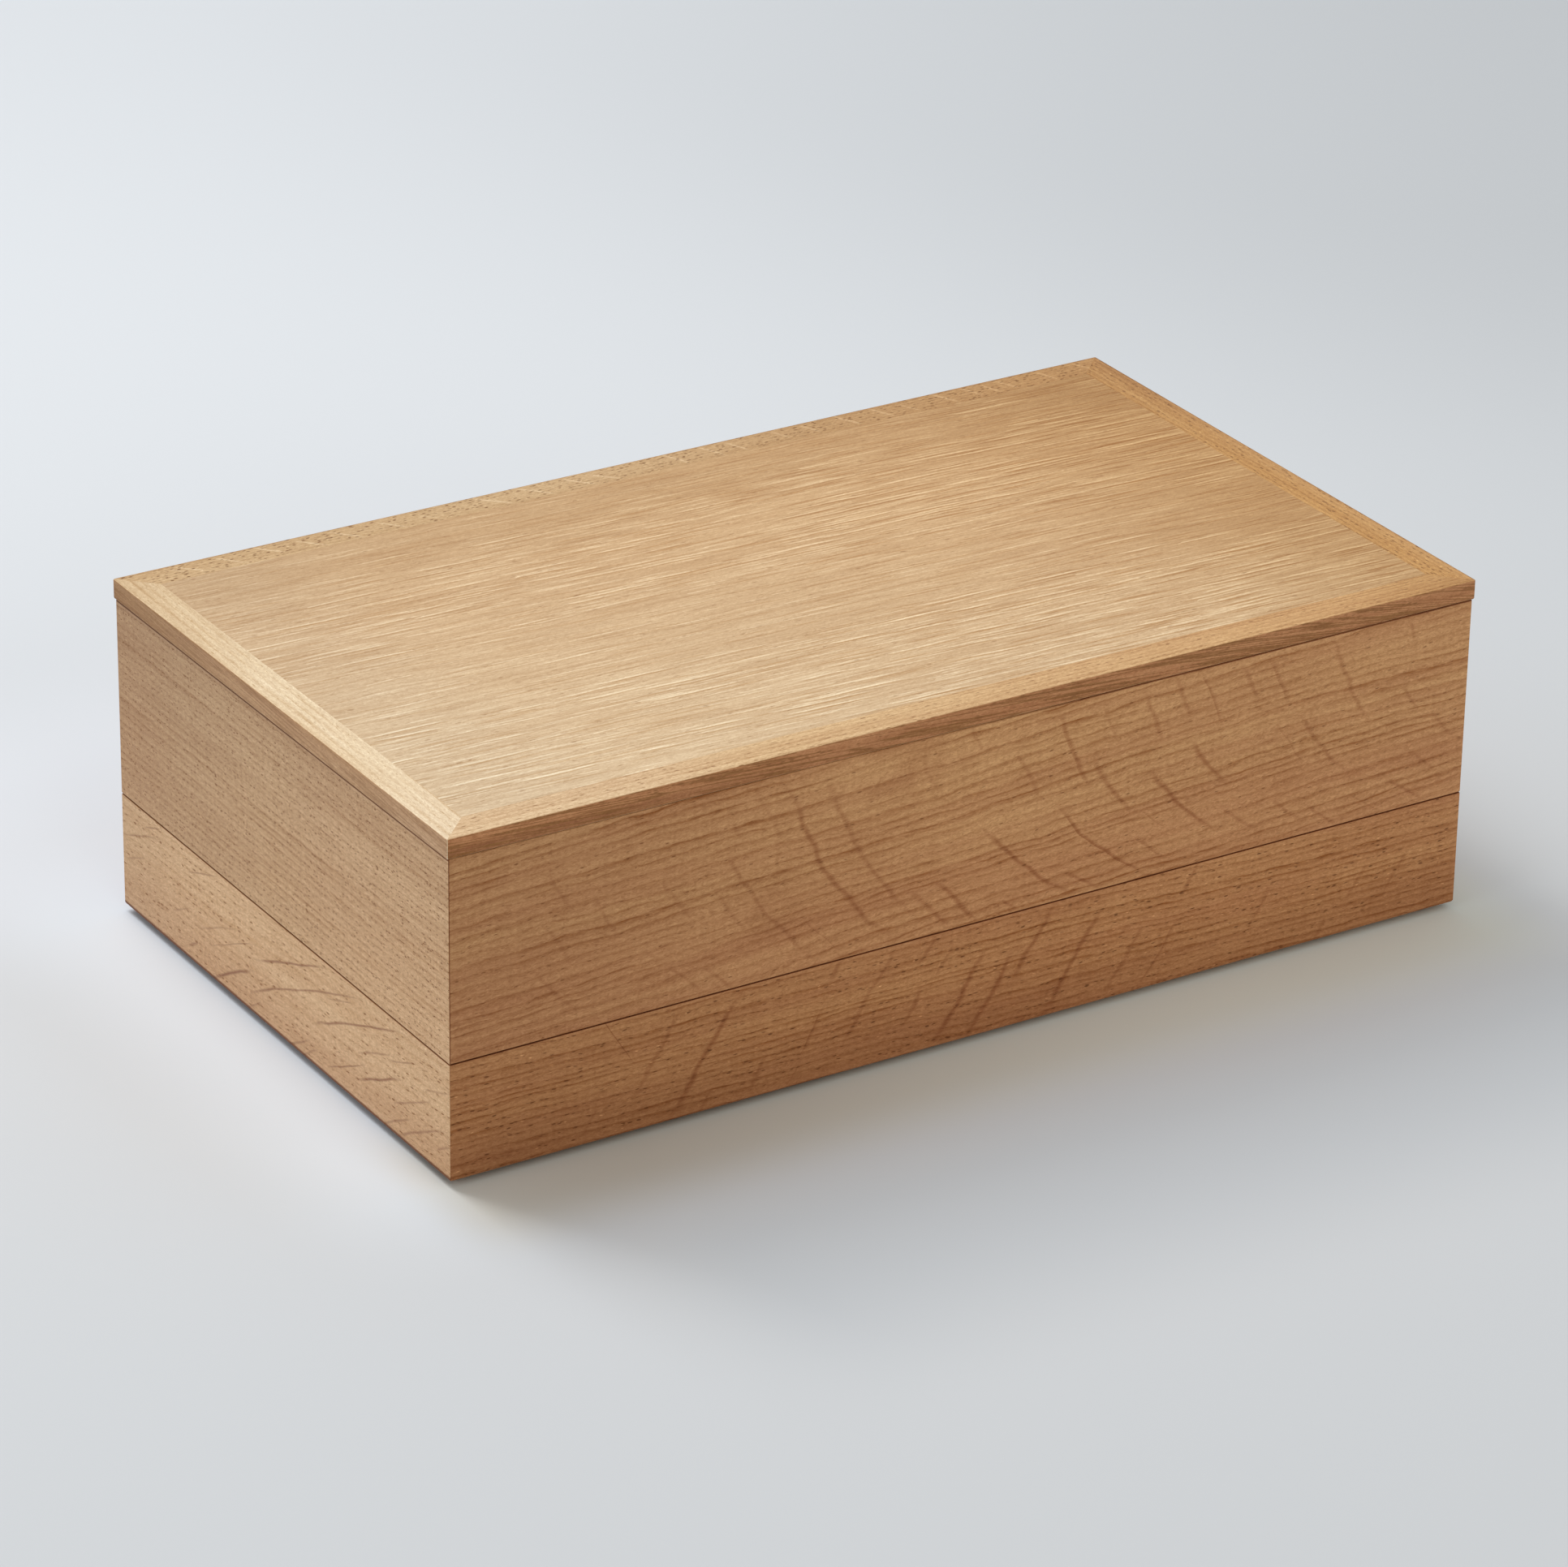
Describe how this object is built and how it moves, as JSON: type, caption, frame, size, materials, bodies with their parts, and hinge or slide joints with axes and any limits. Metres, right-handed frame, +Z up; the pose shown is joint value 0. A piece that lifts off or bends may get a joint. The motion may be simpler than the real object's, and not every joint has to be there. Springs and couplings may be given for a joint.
{
  "type": "stationery box",
  "caption": "Oblong oak stationery box with a deep upper tier that nests on a shallow lower tier, and a flat framed lift-off lid.",
  "frame": {"origin": "middle of the box's footprint, on the surface that it stands on", "axes": "+X along the long side to the right, +Y to the back, +Z up through the lid"},
  "size_m": [0.331, 0.191, 0.1034],
  "materials": {
    "lower_wall_oak": "oiled oak, satin",
    "upper_wall_oak": "oiled oak, satin",
    "lid_frame_oak": "oiled oak, satin",
    "lid_veneer": "oiled quarter-cut oak veneer, satin",
    "base_board": "oiled oak, satin",
    "batten_oak": "oiled oak, satin",
    "core_board": "raw wood core",
    "spline_wood": "raw oak"
  },
  "bodies": {
    "lower_tier": {"lower_front_wall": "lower_wall_oak", "lower_right_wall": "lower_wall_oak", "lower_back_wall": "lower_wall_oak", "lower_left_wall": "lower_wall_oak", "lower_base_panel": "base_board", "lower_front_left_spline": "spline_wood", "lower_front_right_spline": "spline_wood", "lower_back_right_spline": "spline_wood", "lower_back_left_spline": "spline_wood"},
    "upper_tier": {"upper_front_wall": "upper_wall_oak", "upper_right_wall": "upper_wall_oak", "upper_back_wall": "upper_wall_oak", "upper_left_wall": "upper_wall_oak", "upper_base_panel": "base_board", "upper_front_left_spline": "spline_wood", "upper_front_right_spline": "spline_wood", "upper_back_right_spline": "spline_wood", "upper_back_left_spline": "spline_wood"},
    "lid": {"lid_front_rail": "lid_frame_oak", "lid_right_rail": "lid_frame_oak", "lid_back_rail": "lid_frame_oak", "lid_left_rail": "lid_frame_oak", "lid_panel_core": "core_board", "lid_top_veneer": "lid_veneer", "lid_under_veneer": "lid_veneer", "lid_front_left_spline": "spline_wood", "lid_front_right_spline": "spline_wood", "lid_back_right_spline": "spline_wood", "lid_back_left_spline": "spline_wood", "lid_left_batten": "batten_oak", "lid_right_batten": "batten_oak"}
  },
  "joints": [
    {"name": "upper_lift", "type": "slide", "parent": "lower_tier", "child": "upper_tier", "axis": [0, 0, 1], "range_m": [0, 0.1]},
    {"name": "lid_lift", "type": "slide", "parent": "upper_tier", "child": "lid", "axis": [0, 0, 1], "range_m": [0, 0.1]}
  ]
}
